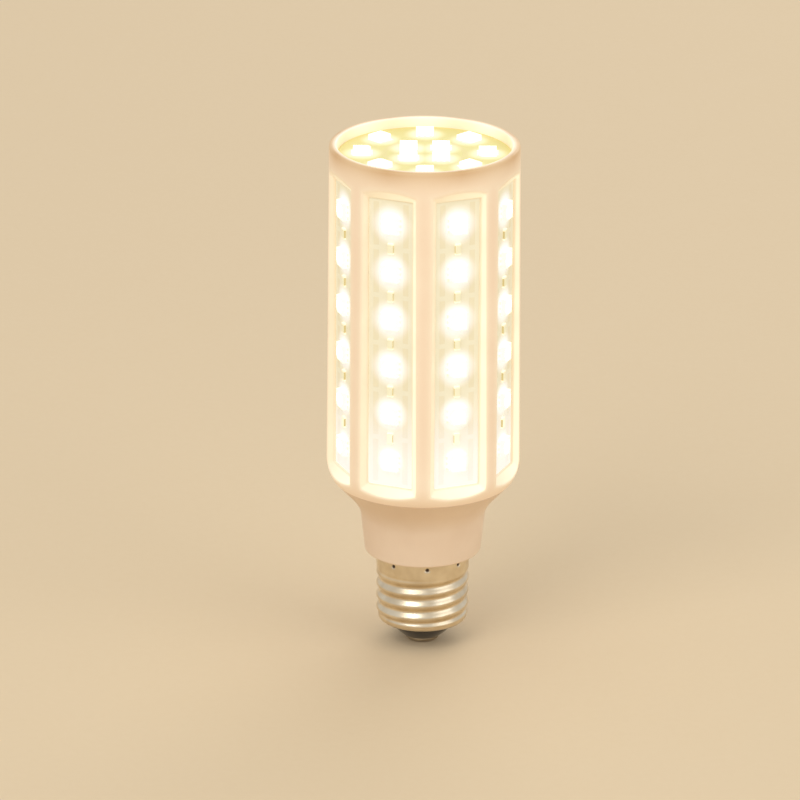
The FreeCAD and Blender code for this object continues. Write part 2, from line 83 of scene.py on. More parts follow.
class Number:
    """A number on a socket; arithmetic on it adds Math nodes to its material."""

    def __init__(self, paint: "Paint", socket: NodeSocket) -> None:
        """Keep the material and the socket."""
        self.paint = paint
        self.socket = socket

    def math(self, operation: str, *terms: Term) -> "Number":
        """Output of a new Math node with that operation and those inputs."""
        return self.paint.number("ShaderNodeMath", {"operation": operation}, dict(enumerate(terms)))

    def __add__(self, other: Term) -> "Number":
        """Sum."""
        return self.math("ADD", self, other)

    def __sub__(self, other: Term) -> "Number":
        """Difference."""
        return self.math("SUBTRACT", self, other)

    def __rsub__(self, other: float) -> "Number":
        """Difference from a plain number."""
        return self.math("SUBTRACT", other, self)

    def __mul__(self, other: Term) -> "Number":
        """Product."""
        return self.math("MULTIPLY", self, other)

    __radd__ = __add__
    __rmul__ = __mul__

    def __truediv__(self, other: Term) -> "Number":
        """Quotient."""
        return self.math("DIVIDE", self, other)

    def __pow__(self, other: float) -> "Number":
        """Power."""
        return self.math("POWER", self, other)

    def least(self, other: Term) -> "Number":
        """The lower of two numbers."""
        return self.math("MINIMUM", self, other)

    def most(self, other: Term) -> "Number":
        """The higher of two numbers."""
        return self.math("MAXIMUM", self, other)

    def size(self) -> "Number":
        """The number without its sign."""
        return self.math("ABSOLUTE", self)

    def nearest(self) -> "Number":
        """The nearest whole number."""
        return self.math("ROUND", self)

    def root(self) -> "Number":
        """The square root."""
        return self.math("SQRT", self)

    def faded(self, start: float, stop: float) -> "Number":
        """A smooth mask: 1 at start, 0 at stop, eased between."""
        sockets = {"Value": self, "From Min": start, "From Max": stop, "To Min": 1.0, "To Max": 0.0}
        return self.paint.number("ShaderNodeMapRange", {"interpolation_type": "SMOOTHSTEP"}, sockets)


class Paint:
    """One material and the nodes that make it."""

    def __init__(self, name: str) -> None:
        """Start an empty material.

        Args:
            name: the material's name.
        """
        self.material = bpy.data.materials.new(name)
        self.material.use_nodes = True
        self.tree = self.material.node_tree
        self.tree.nodes.clear()

    def node(
        self, kind: str, settings: dict[str, Any] | None = None, sockets: dict[Any, Any] | None = None
    ) -> Node:
        """Add a node.

        Args:
            kind: the node's type.
            settings: its settings, set first.
            sockets: values or links of its input sockets, by name or number.

        Returns:
            The node.
        """
        made = self.tree.nodes.new(kind)
        for name, setting in (settings or {}).items():
            setattr(made, name, setting)
        for key, source in (sockets or {}).items():
            source = source.socket if isinstance(source, Number) else source
            if isinstance(source, NodeSocket):
                self.tree.links.new(source, made.inputs[key])
            else:
                made.inputs[key].default_value = source
        return made

    def number(self, kind: str, settings: dict[str, Any], sockets: dict[Any, Any]) -> Number:
        """First output of a new node, as a number."""
        return Number(self, self.node(kind, settings, sockets).outputs[0])

    def place(self) -> NodeSocket:
        """Object coordinates in millimetres."""
        sockets = {0: self.node("ShaderNodeTexCoord").outputs["Object"], "Scale": 1 / MM}
        return self.node("ShaderNodeVectorMath", {"operation": "SCALE"}, sockets).outputs[0]

    def note(self, name: str) -> NodeSocket:
        """The vectors that the piece itself holds under that name."""
        return self.node("ShaderNodeAttribute", {"attribute_name": name}).outputs["Vector"]

    def axes(self, vector: NodeSocket) -> list[Number]:
        """The three numbers of a vector."""
        parts = self.node("ShaderNodeSeparateXYZ", sockets={0: vector})
        return [Number(self, output) for output in parts.outputs]

    def noise(self, vector: NodeSocket, scale: float, detail: float) -> Number:
        """Noise around a half, with scale patches to a unit of length and detail finer layers."""
        return self.number("ShaderNodeTexNoise", {}, {"Vector": vector, "Scale": scale, "Detail": detail})

    def blend(self, factor: Number, first: Tint, second: Tint) -> NodeSocket:
        """Mix of two colours: the first at a factor of 0, the second at 1."""
        ends = [paint_colour(tint) if isinstance(tint, tuple) else tint for tint in (first, second)]
        return self.node("ShaderNodeMix", MIX_COLOURS, dict(zip(MIX_IN, [factor, *ends]))).outputs[MIX_OUT]

    def bump(self, height: Number, depth: float) -> NodeSocket:
        """A normal bent by a height, of which 1 stands for depth in millimetres."""
        return self.node("ShaderNodeBump", {}, {"Height": height, "Distance": depth * MM}).outputs[0]

    def finish(self, sockets: dict[str, Any]) -> Material:
        """Close the material with a Principled shader.

        Args:
            sockets: the shader's inputs by name.

        Returns:
            The material.
        """
        shader = self.node("ShaderNodeBsdfPrincipled", {}, sockets)
        self.node("ShaderNodeOutputMaterial", {}, {"Surface": shader.outputs[0]})
        return self.material


@dataclass(frozen=True)
class MouldedPlastic:
    """Satin white plastic with an even painted glow for the light that comes through it from behind."""

    name: str
    colour: RGB
    shade: RGB
    glow: RGB
    glow_strength: float

    def begun(self) -> tuple[Paint, dict[str, Any]]:
        """Start the material.

        Returns:
            The material and its sockets: a cloudy colour, the mould's grain and an even glow.
        """
        paint = Paint(self.name)
        place = paint.place()
        cloud = paint.noise(place, scale=0.045, detail=4.0)
        grain = paint.noise(place, scale=5.0, detail=2.0)
        flow = paint.noise(place, scale=0.35, detail=2.0)
        sockets = {
            "Base Color": paint.blend(cloud.faded(0.62, 0.3), self.colour, self.shade),
            "Roughness": 0.36 + 0.12 * flow + 0.05 * grain,
            "Normal": paint.bump(grain * 0.6 + flow, depth=0.02),
            "Specular IOR Level": 0.4,
            "Emission Color": paint_colour(self.glow),
            "Emission Strength": self.glow_strength,
        }
        return paint, sockets

    def material(self) -> Material:
        """The plastic as it was begun."""
        paint, sockets = self.begun()
        return paint.finish(sockets)


@dataclass(frozen=True)
class LitPlastic(MouldedPlastic):
    """Moulded plastic with the LEDs' light painted where the piece's own map says, and painted shade on the
    lip.
    """

    light: RGB = (168, 181, 158)
    rim_light: RGB = (168, 166, 148)
    # Colour of the painted shade on the lip and down the rim's outer wall.
    lip: RGB = (194, 152, 96)

    def material(self) -> Material:
        """The plastic, with painted shade on the lip and a painted glow that follows the light map.

        Returns:
            The material.
        """
        paint, sockets = self.begun()
        # Channels: painted light on the windows' walls, painted light on the rim, painted shade on the lip.
        window, rim, lip = paint.axes(paint.note("light_and_shade_map"))
        walls = paint.blend(window, self.glow, self.light)
        sockets["Emission Color"] = paint.blend(rim, walls, self.rim_light)
        # Painted shade: darker colour on the lip and down the rim's outer wall.
        sockets["Base Color"] = paint.blend(lip, sockets["Base Color"], self.lip)
        return paint.finish(sockets)


@dataclass(frozen=True)
class PlainPlastic:
    """Moulded or dipped plastic of a single colour with a cloudy surface."""

    name: str
    colour: RGB
    shade: RGB
    roughness: float
    grain: float = 3.0
    coat: float = 0.0

    def material(self) -> Material:
        """Two close colours in patches, with a grain in roughness and height.

        Returns:
            The material.
        """
        paint = Paint(self.name)
        place = paint.place()
        cloud = paint.noise(place, scale=0.4, detail=4.0)
        grain = paint.noise(place, scale=self.grain, detail=3.0)
        sockets = {
            "Base Color": paint.blend(cloud, self.colour, self.shade),
            "Roughness": self.roughness - 0.06 + 0.12 * grain,
            "Normal": paint.bump(grain, depth=0.015),
            "Coat Weight": self.coat,
        }
        return paint.finish(sockets)


class Polish(Enum):
    """How a metal surface is worked: its roughness and how short its fine lines are round the axis."""

    PLATED = (0.24, 0.02)
    DRAWN = (0.33, 0.6)
    TINNED = (0.38, 1.5)


@dataclass(frozen=True)
class Metal:
    """Plated metal with fine lines round the bulb's axis, darker patches and soft wear."""

    name: str
    colour: RGB
    tarnish: RGB
    polish: Polish
    glow_strength: float = 0.0
    glow: RGB = (255, 240, 212)
    line_squeeze: float = 4.0

    def begun(self) -> tuple[Paint, dict[str, Any]]:
        """Start the material.

        Returns:
            The material and its sockets. Lines are noise squeezed along the axis and tarnish follows
            broad noise.
        """
        paint = Paint(self.name)
        place = paint.place()
        roughness, stretch = self.polish.value
        scale = (stretch, stretch, self.line_squeeze)
        squeezed = paint.node("ShaderNodeMapping", {}, {"Vector": place, "Scale": scale}).outputs[0]
        lines = paint.noise(squeezed, scale=2.0, detail=2.0)
        patch = paint.noise(place, scale=0.22, detail=2.0)
        sockets = {
            "Base Color": paint.blend(patch.faded(0.75, 0.2), self.colour, self.tarnish),
            "Metallic": 1.0,
            "Roughness": roughness + 0.14 * (patch - 0.5) + 0.1 * (lines - 0.5),
            "Normal": paint.bump(lines, depth=0.006),
            "Emission Color": paint_colour(self.glow),
            "Emission Strength": self.glow_strength,
        }
        return paint, sockets

    def material(self) -> Material:
        """Plated metal all over."""
        paint, sockets = self.begun()
        return paint.finish(sockets)


@dataclass(frozen=True)
class PunchedMetal(Metal):
    """Plated metal with painted shade in the marks that the piece's own punch map shows."""

    # Colour of the painted shade in the punch dents.
    dent_shade: RGB = (64, 44, 28)

    def material(self) -> Material:
        """The metal, turning dark and matt where the punch map is deep: painted shade in the dents.

        Returns:
            The material.
        """
        paint, sockets = self.begun()
        # Painted shade: the punch dents go dark and matt.
        deep = paint.axes(paint.note("punch_map"))[0].faded(0.5, 0.1)
        sockets["Metallic"] = 1.0 - deep
        sockets["Roughness"] = sockets["Roughness"] + 0.3 * deep
        sockets["Base Color"] = paint.blend(deep, sockets["Base Color"], self.dent_shade)
        return paint.finish(sockets)


@dataclass(frozen=True)
class LitGel:
    """The LED's yellow gel, lit from within."""

    name: str
    gel: RGB
    gel_grain: RGB
    light: RGB
    light_grain: RGB
    strength: float

    def material(self) -> Material:
        """Grainy gel with an even warm light.

        Returns:
            The material.
        """
        paint = Paint(self.name)
        grain = paint.noise(paint.place(), scale=9.0, detail=3.0)
        sockets = {
            "Base Color": paint.blend(grain, self.gel, self.gel_grain),
            "Roughness": 0.22 + 0.1 * grain,
            "Emission Color": paint.blend(grain, self.light, self.light_grain),
            "Emission Strength": self.strength,
        }
        return paint.finish(sockets)


@dataclass(frozen=True)
class LedRow:
    """Where the LEDs of a strip sit along it."""

    first: float
    pitch: float
    count: int
    flood_pitches: float = 1.8

    @property
    def last(self) -> float:
        """Level of the last LED."""
        return self.first + self.pitch * (self.count - 1)

    def levels(self) -> Array:
        """Levels of all the LEDs."""
        return self.first + self.pitch * np.arange(self.count)

    def flood(self, up: Number) -> Number:
        """Light that floods the strip's foot: 1 half a pitch below the first LED, 0 below the third."""
        return up.faded(self.first - self.pitch / 2, self.first + self.flood_pitches * self.pitch)


@dataclass(frozen=True)
class LitCeramic(MouldedPlastic):
    """Ceramic of the chips, washed out by the light that floods the foot of a strip."""

    light: RGB = (214, 216, 202)

    def strip(self, row: LedRow) -> Material:
        """The chips' finish.

        Args:
            row: the strip's LEDs.

        Returns:
            The material; its glow turns to the light as the flood grows.
        """
        paint, sockets = self.begun()
        up = paint.axes(paint.place())[2]
        sockets["Emission Color"] = paint.blend(row.flood(up), self.glow, self.light)
        return paint.finish(sockets)


@dataclass(frozen=True)
class LitMask:
    """White solder mask of an LED board, bright round each LED and creamier between them."""

    name: str
    mask: RGB
    shade: RGB
    glow: RGB
    halo: RGB
    bright: float
    dim: float
    copper: RGB = (222, 200, 150)
    rail_place: float = 4.4
    ring_rail: float = 6.2
    flood_share: float = 0.85

    def dressed(
        self, paint: Paint, place: NodeSocket, reach: Number, tracks: Number, flood: Term
    ) -> Material:
        """Finish a board.

        Args:
            paint: the material begun.
            place: coordinates for its grain.
            reach: distance to the nearest LED, in millimetres.
            tracks: 1 on the copper tracks under the mask, 0 off them.
            flood: least share of the LEDs' light away from them.

        Returns:
            The material.
        """
        grain = paint.noise(place, scale=2.2, detail=3.0)
        cloud = paint.noise(place, scale=0.25, detail=3.0)
        halo = reach.faded(self.bright, self.dim).most(flood)
        cream = paint.blend(cloud, self.mask, self.shade)
        sockets = {
            "Base Color": paint.blend(tracks * 0.3, cream, self.copper),
            "Roughness": 0.45 + 0.15 * grain,
            "Normal": paint.bump(tracks * 0.8 + 0.2 * grain, depth=0.035),
            "Emission Color": paint.blend(halo, self.glow, self.halo),
            "Emission Strength": 0.9,
        }
        return paint.finish(sockets)

    def strip(self, row: LedRow) -> Material:
        """A strip's mask, on the strip's own across and up coordinates.

        Args:
            row: the strip's LEDs.

        Returns:
            The material; the nearest LED's level is the row's step rounded, held to the row's ends.
        """
        paint = Paint(self.name)
        place = paint.note("strip_place")
        across, up, _ = paint.axes(place)
        held = up.most(row.first).least(row.last)
        nearest = ((held - row.first) / row.pitch).nearest() * row.pitch + row.first
        reach = (across * across + (up - nearest) ** 2.0).root()
        rail = (across.size() - self.rail_place).size().faded(0.75, 0.85)
        step = (up - row.first) / row.pitch
        gap = (step - step.nearest()).size().faded(0.44, 0.46)
        return self.dressed(paint, place, reach, rail * gap, self.flood_share * row.flood(up))

    def disc(self, ring: float, inner: float) -> Material:
        """The round board's mask.

        Args:
            ring: radius of the outer ring of LEDs.
            inner: offset of the inner LEDs along both axes.

        Returns:
            The material; the ring is folded into one eighth of a turn and the inner LEDs into one quarter.
        """
        paint = Paint(self.name)
        place = paint.place()
        across, deep, _ = paint.axes(place)
        radius = (across * across + deep * deep).root()
        angle = deep.math("ARCTAN2", deep, across)
        eighth = math.pi / 4
        folded = angle - (angle / eighth).nearest() * eighth
        off = radius * folded.math("COSINE", folded) - ring
        side = radius * folded.math("SINE", folded)
        to_ring = (off * off + side * side).root()
        to_inner = ((across.size() - inner) ** 2.0 + (deep.size() - inner) ** 2.0).root()
        rail = (radius - (ring - self.ring_rail)).size().faded(0.7, 0.8)
        return self.dressed(paint, place, to_ring.least(to_inner), rail, 0.0)


class Finishes:
    """Every finish of the bulb, made once."""

    def __init__(self, row: LedRow, ring: float, inner: float) -> None:
        """Make the materials.

        Args:
            row: the LEDs of a strip.
            ring: radius of the round board's outer LEDs.
            inner: offset of its inner LEDs along both axes.
        """
        # Every glow below but the gel's is painted light: the LEDs' light on and through parts that are no
        # lamps.
        base = MouldedPlastic("base_plastic", (236, 214, 188), (230, 206, 179), (255, 176, 104), 0.02)
        led = MouldedPlastic("led_plastic", (250, 247, 236), (246, 241, 225), (250, 242, 214), 0.6)
        chip = LitCeramic("chip_ceramic", (232, 225, 196), (226, 218, 186), (146, 148, 126), 0.84)
        # The chips' sides, darker than their tops: painted shade.
        side = MouldedPlastic("chip_side", (192, 180, 128), (184, 170, 118), (162, 148, 106), 0.84)
        strip = LitMask(
            "strip_mask", (238, 231, 208), (233, 225, 199), (110, 112, 94), (158, 170, 194), 2.8, 6.6
        )
        disc = LitMask("disc_mask", (226, 214, 146), (221, 207, 136), (92, 92, 42), (168, 172, 180), 2.6, 6.4)
        gel = LitGel("lit_gel", (255, 205, 96), (255, 222, 130), (255, 230, 182), (255, 246, 226), 9.0)
        self.cage = LitPlastic("cage_plastic", (246, 228, 202), (242, 221, 194), (92, 73, 54), 1.0).material()
        self.base = base.material()
        self.strip_mask = strip.strip(row)
        self.disc_mask = disc.disc(ring, inner)
        self.led_body = led.material()
        self.gel = gel.material()
        self.chip = chip.strip(row)
        self.chip_side = side.material()
        self.tin = Metal("solder_tin", (222, 216, 204), (204, 196, 182), Polish.TINNED, 0.7).material()
        self.wire = Metal("tinned_wire", (206, 200, 190), (176, 168, 156), Polish.TINNED).material()
        self.shell = PunchedMetal("nickel_shell", (236, 222, 196), (216, 199, 170), Polish.DRAWN).material()
        self.contact = Metal("contact_metal", (214, 204, 188), (170, 158, 140), Polish.PLATED).material()
        self.glass = PlainPlastic("black_glass", (16, 14, 15), (26, 22, 24), 0.16, 1.2, 0.4).material()
        self.laminate = PlainPlastic("green_laminate", (38, 104, 52), (30, 88, 44), 0.4).material()
        self.film = PlainPlastic("film_case", (132, 44, 28), (112, 34, 22), 0.3, 2.0, 0.2).material()
        self.sleeve = PlainPlastic("can_sleeve", (22, 24, 38), (30, 32, 46), 0.34).material()
        self.fuse = PlainPlastic("fuse_case", (52, 44, 38), (64, 54, 46), 0.5).material()
        self.red_wire = PlainPlastic("red_wire", (150, 22, 18), (130, 18, 16), 0.42).material()
        self.black_wire = PlainPlastic("black_wire", (24, 22, 22), (34, 31, 30), 0.42).material()
        self.floor = PlainPlastic("pale_floor", (222, 200, 165), (220, 197, 161), 0.85, 0.05).material()


@dataclass
class Surface:
    """Points in millimetres and quads between them, each quad with the number of its finish."""

    points: Array
    quads: Array
    finish: Array

    @classmethod
    def grid(
        cls,
        points: Array,
        wrap_rows: bool = False,
        wrap_columns: bool = False,
        finish: int = 0,
        keep: Array | None = None,
    ) -> "Surface":
        """Quads between neighbouring points of a grid, facing columns cross rows.

        Args:
            points: rows by columns by 3.
            wrap_rows, wrap_columns: join the last to the first.
            finish: number of the quads' finish.
            keep: rows by columns, true at points whose quads stay; a quad stays if any corner does.

        Returns:
            The surface.
        """
        rows, columns = points.shape[:2]
        row = np.arange(rows if wrap_rows else rows - 1)[:, None]
        column = np.arange(columns if wrap_columns else columns - 1)[None, :]
        next_row, next_column = (row + 1) % rows, (column + 1) % columns
        corners = ((row, column), (row, next_column), (next_row, next_column), (next_row, column))
        quads = np.stack([r * columns + c for r, c in corners], axis=-1).reshape(-1, 4)
        if keep is not None:
            quads = quads[keep.reshape(-1)[quads].any(axis=1)]
        return cls(points.reshape(-1, 3), quads, np.full(len(quads), finish))

    @classmethod
    def joined(cls, pieces: list["Surface"]) -> "Surface":
        """Several surfaces as one.

        Args:
            pieces: the surfaces.

        Returns:
            The one surface, with the quads' numbers moved on past the points before them.
        """
        starts = np.cumsum([0] + [len(piece.points) for piece in pieces[:-1]])
        return cls(
            np.concatenate([piece.points for piece in pieces]),
            np.concatenate([piece.quads + start for piece, start in zip(pieces, starts)]),
            np.concatenate([piece.finish for piece in pieces]),
        )

    def placed(self, frames: Array) -> "Surface":
        """Copies of the surface set in frames.

        Args:
            frames: copies by 4 by 3: the directions of the surface's own x, y and z, then its origin.

        Returns:
            All the copies as one surface; a point is x, y and z times the directions, plus the origin.
        """
        copies, count = len(frames), len(self.points)
        points = np.einsum("pk,cki->cpi", self.points, frames[:, :3]) + frames[:, None, 3]
        quads = self.quads[None] + (np.arange(copies) * count)[:, None, None]
        return Surface(points.reshape(-1, 3), quads.reshape(-1, 4), np.tile(self.finish, copies))


def polar(radius: Array | float, turn: Array) -> Array:
    """Points by 2 about the axis: radius times the cosine and the sine of each turn."""
    return np.stack([radius * np.cos(turn), radius * np.sin(turn)], axis=-1)


def turned(radius: Array, level: Array, turn: Array) -> Array:
    """Points by 3 about the axis: radius times the cosine and the sine of each turn, and the level."""
    return np.stack([radius * np.cos(turn), radius * np.sin(turn), level + 0 * turn], axis=-1)


def lathe(outline: Array, segments: int, closed: bool = True) -> Surface:
    """Surface of an outline turned about the axis, with its end joined to its start if closed."""
    turn = np.linspace(0, 2 * np.pi, segments, endpoint=False)
    return Surface.grid(turned(*outline.T[..., None], turn), wrap_rows=closed, wrap_columns=True)


def arc(centre: tuple[float, float], radius: float, start: float, stop: float, count: int) -> Array:
    """Points between two angles in degrees: the centre plus radius times cosine and sine."""
    return np.array(centre) + polar(radius, np.radians(np.linspace(start, stop, count)))


def soft_least(first: Array, second: Array, width: float) -> Array:
    """The lower of two arrays, less a quarter of width times the squared share of their closeness."""
    near = np.maximum(width - np.abs(first - second), 0) / width
    return np.minimum(first, second) - near**2 * width / 4


def block(low: Spot, high: Spot, chamfer: float, finish: int = 0, side: int | None = None) -> Surface:
    """A box with its upper edges cut off.

    Args:
        low, high: its corners.
        chamfer: width of the cut.
        finish: number of the finish.
        side: number of the upright sides' finish, if it is another one.

    Returns:
        The surface: loops of four corners from the foot to the top face, closed at both ends.
    """
    middle = (np.array(low) + np.array(high)) / 2
    reach = (np.array(high) - np.array(low)) / 2
    corners = np.array([(-1, -1), (1, -1), (1, 1), (-1, 1)])
    insets = np.array([0.0, 0.0, 0.0, chamfer, 0.0])
    levels = np.array([low[2], low[2], high[2] - chamfer, high[2], high[2]])
    spans = np.maximum(reach[None, :2] - insets[:, None], 0)
    spans[[0, -1]] = 0
    flat = middle[None, None, :2] + spans[:, None, :] * corners[None]
    points = np.concatenate([flat, np.broadcast_to(levels[:, None, None], (5, 4, 1))], axis=-1)
    box = Surface.grid(points, wrap_columns=True, finish=finish)
    if side is not None:
        # The foot's four quads come first, then the four sides.
        box.finish[4:8] = side
    return box


def make_piece(
    name: str,
    surface: Surface,
    materials: list[Material],
    replaced: list[str],
    sharp: float = 38.0,
    notes: dict[str, Array] | None = None,
) -> Object:
    """Put a surface into a mesh and let it ride with the part.

    Args:
        name: the piece's name.
        surface: its shape.
        materials: finishes in the order of the quads' numbers.
        replaced: CAD nodes that it stands for.
        sharp: edges bent by more than this many degrees stay sharp.
        notes: vectors that its finish reads, by name, one for each point.

    Returns:
        The piece's object.
    """
    mesh = bpy.data.meshes.new(name)
    mesh.from_pydata((surface.points * MM).tolist(), [], surface.quads.tolist())
    for note, vectors in (notes or {}).items():
        mesh.attributes.new(note, "FLOAT_VECTOR", "POINT").data.foreach_set("vector", vectors.reshape(-1))
    mesh.polygons.foreach_set("material_index", surface.finish.astype(np.int32))
    work = bmesh.new()
    work.from_mesh(mesh)
    bmesh.ops.remove_doubles(work, verts=work.verts, dist=1e-7)
    bmesh.ops.delete(work, geom=[vert for vert in work.verts if not vert.link_faces], context="VERTS")
    work.to_mesh(mesh)
    work.free()
    for material in materials:
        mesh.materials.append(material)
    mesh.polygons.foreach_set("use_smooth", np.ones(len(mesh.polygons), dtype=bool))
    mesh.set_sharp_from_angle(angle=math.radians(sharp))
    piece = bpy.data.objects.new(name, mesh)
    bpy.context.scene.collection.objects.link(piece)
    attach(piece, "root")
    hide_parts(*replaced)
    LOG.info("%s: %d faces", name, len(mesh.polygons))
    return piece


def directions(angles: Array) -> tuple[Array, Array, Array]:
    """Directions away from the axis, round it and up it at angles in degrees, each angles by 3."""
    turn, (x, y, z) = np.radians(angles)[:, None], np.eye(3)
    return np.cos(turn) * x + np.sin(turn) * y, np.cos(turn) * y - np.sin(turn) * x, z + 0 * turn


def strip_frames(angle: float, radius: float, levels: Array) -> Array:
    """Frames up a strip at an angle in degrees: x runs round the axis, y up it and z away from it."""
    away, around, upward = directions(np.full(len(levels), angle))
    return np.stack([around, upward, away, away * radius + upward * levels[:, None]], axis=1)


@dataclass
class Cage:
    """Moulded cage: tapered wall with a rounded foot, proud rim and sloped windows."""

    finishes: Finishes
    row: LedRow
    sides: int = 8
    foot_level: float = 49.1
    foot_bore: float = 23.7
    foot_inset: float = 1.8
    foot_power: float = 2.2
    foot_edge: float = 0.25
    low_level: float = 55.3
    low_radius: float = 27.2
    top_radius: float = 26.5
    rim_level: float = 147.1
    rim_round: float = 0.8
    rim_bore: float = 24.4
    bore_round: float = 0.35
    bore_drop: float = 1.0
    bore_gap: float = 0.3
    ledge_level: float = 142.75
    window_foot: float = 54.2
    window_head: float = 138.2
    window_half: float = 6.7
    window_face: float = 24.3
    window_slope: float = 52.0
    window_corner: float = 0.5
    head_zone: tuple[float, float] = (-1.2, 3.8)
    edge_round: float = 0.55
    land: float = 0.1
    land_drop: float = 6.0
    wall: float = 0.4
    column_step: float = 0.9
    column_gap: float = 0.6
    edge_column: float = 0.35
    slope_columns: tuple[float, ...] = (
        0.12, 0.4, 0.7, 0.95, 1.15, 1.3, 1.44, 1.58, 1.72, 1.86, 2.0, 2.15, 2.3
    )
    rib_columns: tuple[float, ...] = (0.34, 0.67, 1.0)
    wall_fade: float = 0.3
    mouth_fade: float = 0.25
    mouth_light: float = 0.25
    mouth_reach: float = 0.8
    facing_mean: float = 0.74
    facing_swing: float = 0.26
    head_light: float = 0.76
    sill_light: float = 0.24
    led_beat: float = 0.08
    led_ring: float = 17.4
    led_glow: float = 7.0
    led_spread: float = 4.0
    rim_share: float = 0.55
    bore_light: tuple[float, float, float] = (0.8, 0.2, 0.5)
    # Down to lip_reach below the rim's top, the rim's painted light and the lip's painted shade fade out;
    # then the shade's power and its fade in from the bore.
    lip_reach: float = 9.0
    lip_shade_power: float = 2.5
    lip_shade_fade: float = 0.4

    def wall_radius(self, level: Array) -> Array:
        """Radius of the outside at a level.

        Args:
            level: levels above the origin.

        Returns:
            A straight taper; below the low level the foot draws in by a power of what is left.
        """
        share = np.clip((level - self.foot_level) / (self.low_level - self.foot_level), 0, 1)
        rise = np.clip((level - self.low_level) / (self.rim_level - self.low_level), 0, 1)
        taper = self.low_radius + (self.top_radius - self.low_radius) * rise
        return taper - self.foot_inset * (1 - share) ** self.foot_power

    def outline(self) -> Array:
        """Section of the skin.

        Returns:
            Radius and level of each row: in under the foot, up the wall, over the rim, down to the ledge.
        """
        shoulder = self.rim_level - self.rim_round
        head, foot = self.window_head, self.window_foot
        low_head, high_head = (head + part for part in self.head_zone)
        rows = [
            np.linspace(self.foot_level, self.low_level, 27),
            [foot, foot + self.land, head - self.land, head],
            np.linspace(self.low_level, low_head, 15),
            np.linspace(low_head, high_head, 22),
            np.linspace(high_head, shoulder, 8),
        ]
        levels = np.unique(np.concatenate(rows).round(4))
        wall = np.stack([self.wall_radius(levels), levels], axis=-1)
        reach = np.linspace(self.foot_bore, wall[0, 0] - self.foot_edge, 3)
        under = np.stack([reach, np.full(3, self.foot_level)], axis=-1)
        outer = arc((wall[-1, 0] - self.rim_round, shoulder), self.rim_round, 10, 90, 7)
        corner = (self.rim_bore + self.bore_round, self.rim_level - self.bore_round)
        inner = arc(corner, self.bore_round, 90, 180, 5)
        drop = np.linspace(self.rim_level - self.bore_drop, self.ledge_level, 4)
        bore = np.stack([np.full(4, self.rim_bore), drop], axis=-1)
        return np.concatenate([under, wall, outer, inner, bore])

    def columns(self) -> Array:
        """Distances of the columns from a window's middle line, up to where the rib begins."""
        edge = self.window_half + np.array([-self.edge_column, -self.land, 0.0, *self.slope_columns])
        return np.concatenate([np.arange(0, self.window_half - self.column_gap, self.column_step), edge])

    def surface(self) -> tuple[Surface, Array]:
        """The cage's skin and its map of painted light and shade.

        Returns:
            A grid of outline rows by columns round the axis. Before a window, a point's distance from the
            axis plane is the softened lower of the round wall, root of radius squared less across squared,
            and the window's wall, which rises from its face by the distance outside the opening over the
            slope's tangent. The map holds painted light on the windows' walls and rim, and painted shade on
            the lip.
        """
        radius, level = (part[:, None] for part in self.outline().T)
        half_angle = math.pi / self.sides
        fixed = self.columns()
        edge = radius * math.sin(half_angle)
        last = fixed[-1] + (edge - fixed[-1]) * np.array(self.rib_columns)
        right = np.concatenate([np.broadcast_to(fixed, (len(radius), len(fixed))), last], axis=1)
        across = np.concatenate([-right[:, :0:-1], right[:, :-1]], axis=1)
        middle, tall = (self.window_foot + self.window_head) / 2, (self.window_head - self.window_foot) / 2
        inside = self.window_half - np.abs(across), tall - np.abs(level - middle)
        outside = -soft_least(*inside, self.window_corner)
        rise = np.maximum(outside, 0) / math.tan(math.radians(self.window_slope))
        slope = self.window_face + rise + self.land_drop * np.clip(outside, -self.land, 0)
        skin = np.sqrt(radius**2 - across**2)
        depth = soft_least(skin, slope, self.edge_round)
        angles = (2 * np.arange(self.sides) + 1)[None, :, None] * half_angle
        deep, wide = depth[:, None, :], across[:, None, :]
        x = deep * np.cos(angles) - wide * np.sin(angles)
        y = deep * np.sin(angles) + wide * np.cos(angles)
        z = np.broadcast_to(level[:, :, None], x.shape)
        points = np.stack([x, y, z], axis=-1).reshape(len(radius), -1, 3)
        keep = np.tile(outside > -self.land + 1e-4, (1, self.sides))
        wall_light = np.clip((skin - slope) / self.wall_fade, 0, 1) * np.clip(outside / self.mouth_fade, 0, 1)
        past_edge = np.maximum(rise + self.window_face - skin, 0)
        edge_light = self.mouth_light * np.exp(-past_edge / self.mouth_reach)
        facing = self.facing_mean + self.facing_swing * np.clip(across / self.window_half, -1, 1)
        window = np.maximum(wall_light * self.row_light(level) * facing, edge_light)
        window = np.tile(window, (1, self.sides)).reshape(-1)
        return Surface.grid(points, wrap_columns=True, keep=keep), self.light_and_shade_map(points, window)

    def row_light(self, level: Array) -> Array:
        """Light of a row of LEDs on the walls beside it.

        Args:
            level: levels above the origin.

        Returns:
            A cosine that peaks beside each LED, on a light that grows from the head down to the full sill.
        """
        down = np.clip((self.row.last - level) / (self.row.last - self.window_foot), 0, 1)
        beat = self.led_beat * np.cos(2 * np.pi * (level - self.row.first) / self.row.pitch)
        row = (level > self.window_foot) & (level < self.window_head)
        return self.head_light + self.sill_light * down**2 + np.where(row, beat * (1 - down**4), 0)

